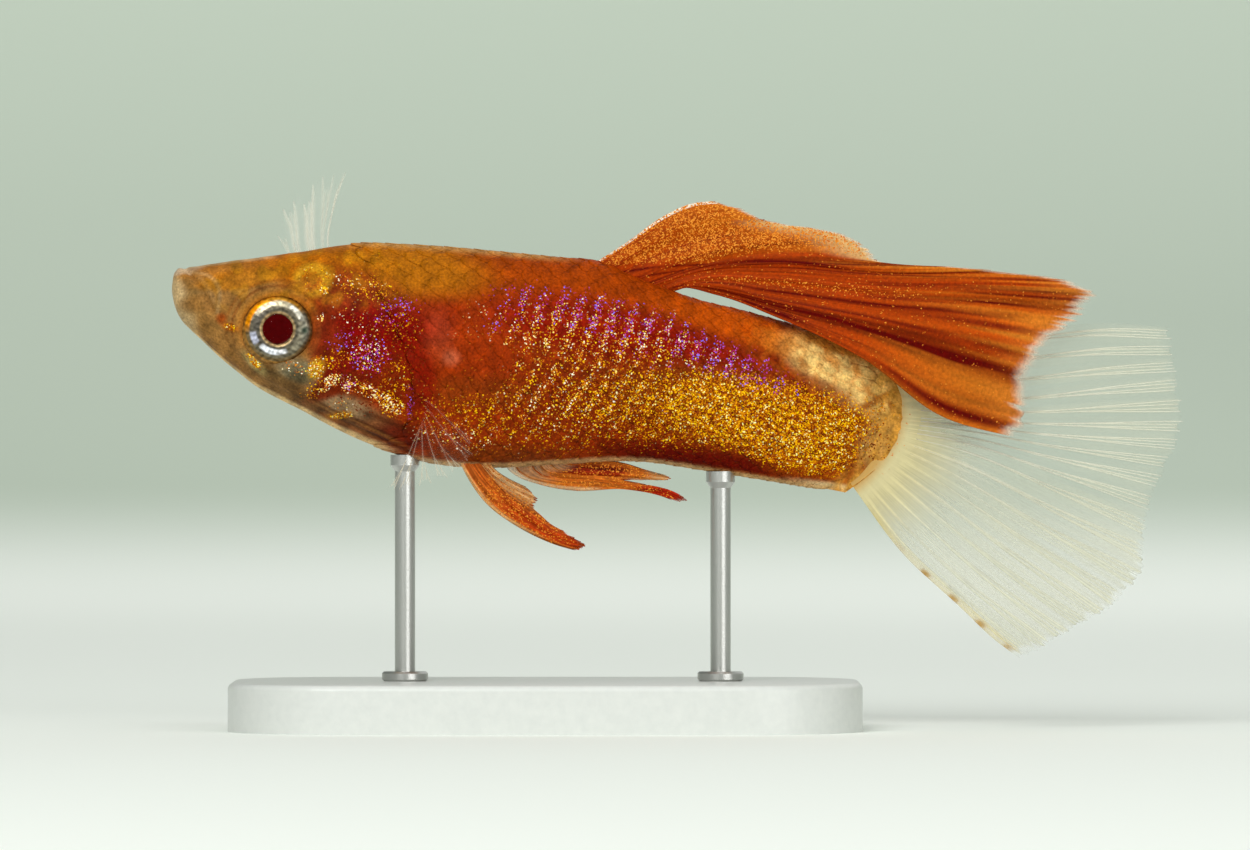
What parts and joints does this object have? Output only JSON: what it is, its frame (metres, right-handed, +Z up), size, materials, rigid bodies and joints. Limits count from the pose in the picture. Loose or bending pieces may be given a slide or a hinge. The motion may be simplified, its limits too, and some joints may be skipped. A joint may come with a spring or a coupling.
{
  "type": "guppy fish model",
  "caption": "Still, life-size male guppy with long fins, red and gold, held over a plain flat display stand by short rods.",
  "frame": {"origin": "centre of the flat underside of the display stand", "axes": "+X from the snout toward the tail, +Y toward the fish's right side, +Z up"},
  "size_m": [0.0417, 0.0162, 0.0232],
  "materials": {
    "head_skin": "semi-gloss skin, tan and orange with gold and violet flecks",
    "body_skin": "semi-gloss scaled skin, deep orange red with gold flecks",
    "eye": "clear gloss, silver iris and dark red pupil",
    "red_fin": "satin membrane, burnt orange with dark red rays",
    "clear_fin": "satin colourless membrane with fine white rays",
    "stand_base": "plain pale satin",
    "stand_rod": "satin"
  },
  "bodies": {
    "root": {"head": "head_skin", "trunk": "body_skin", "tail_stalk": "body_skin", "eye_left": "eye", "eye_right": "eye", "dorsal_fin": "red_fin", "caudal_fin": "clear_fin", "anal_fin": "red_fin", "pelvic_fin_left": "red_fin", "pelvic_fin_right": "red_fin", "pectoral_fin_left": "clear_fin", "pectoral_fin_right": "clear_fin", "stand_base": "stand_base", "stand_rod_front": "stand_rod", "stand_rod_rear": "stand_rod"}
  },
  "joints": []
}
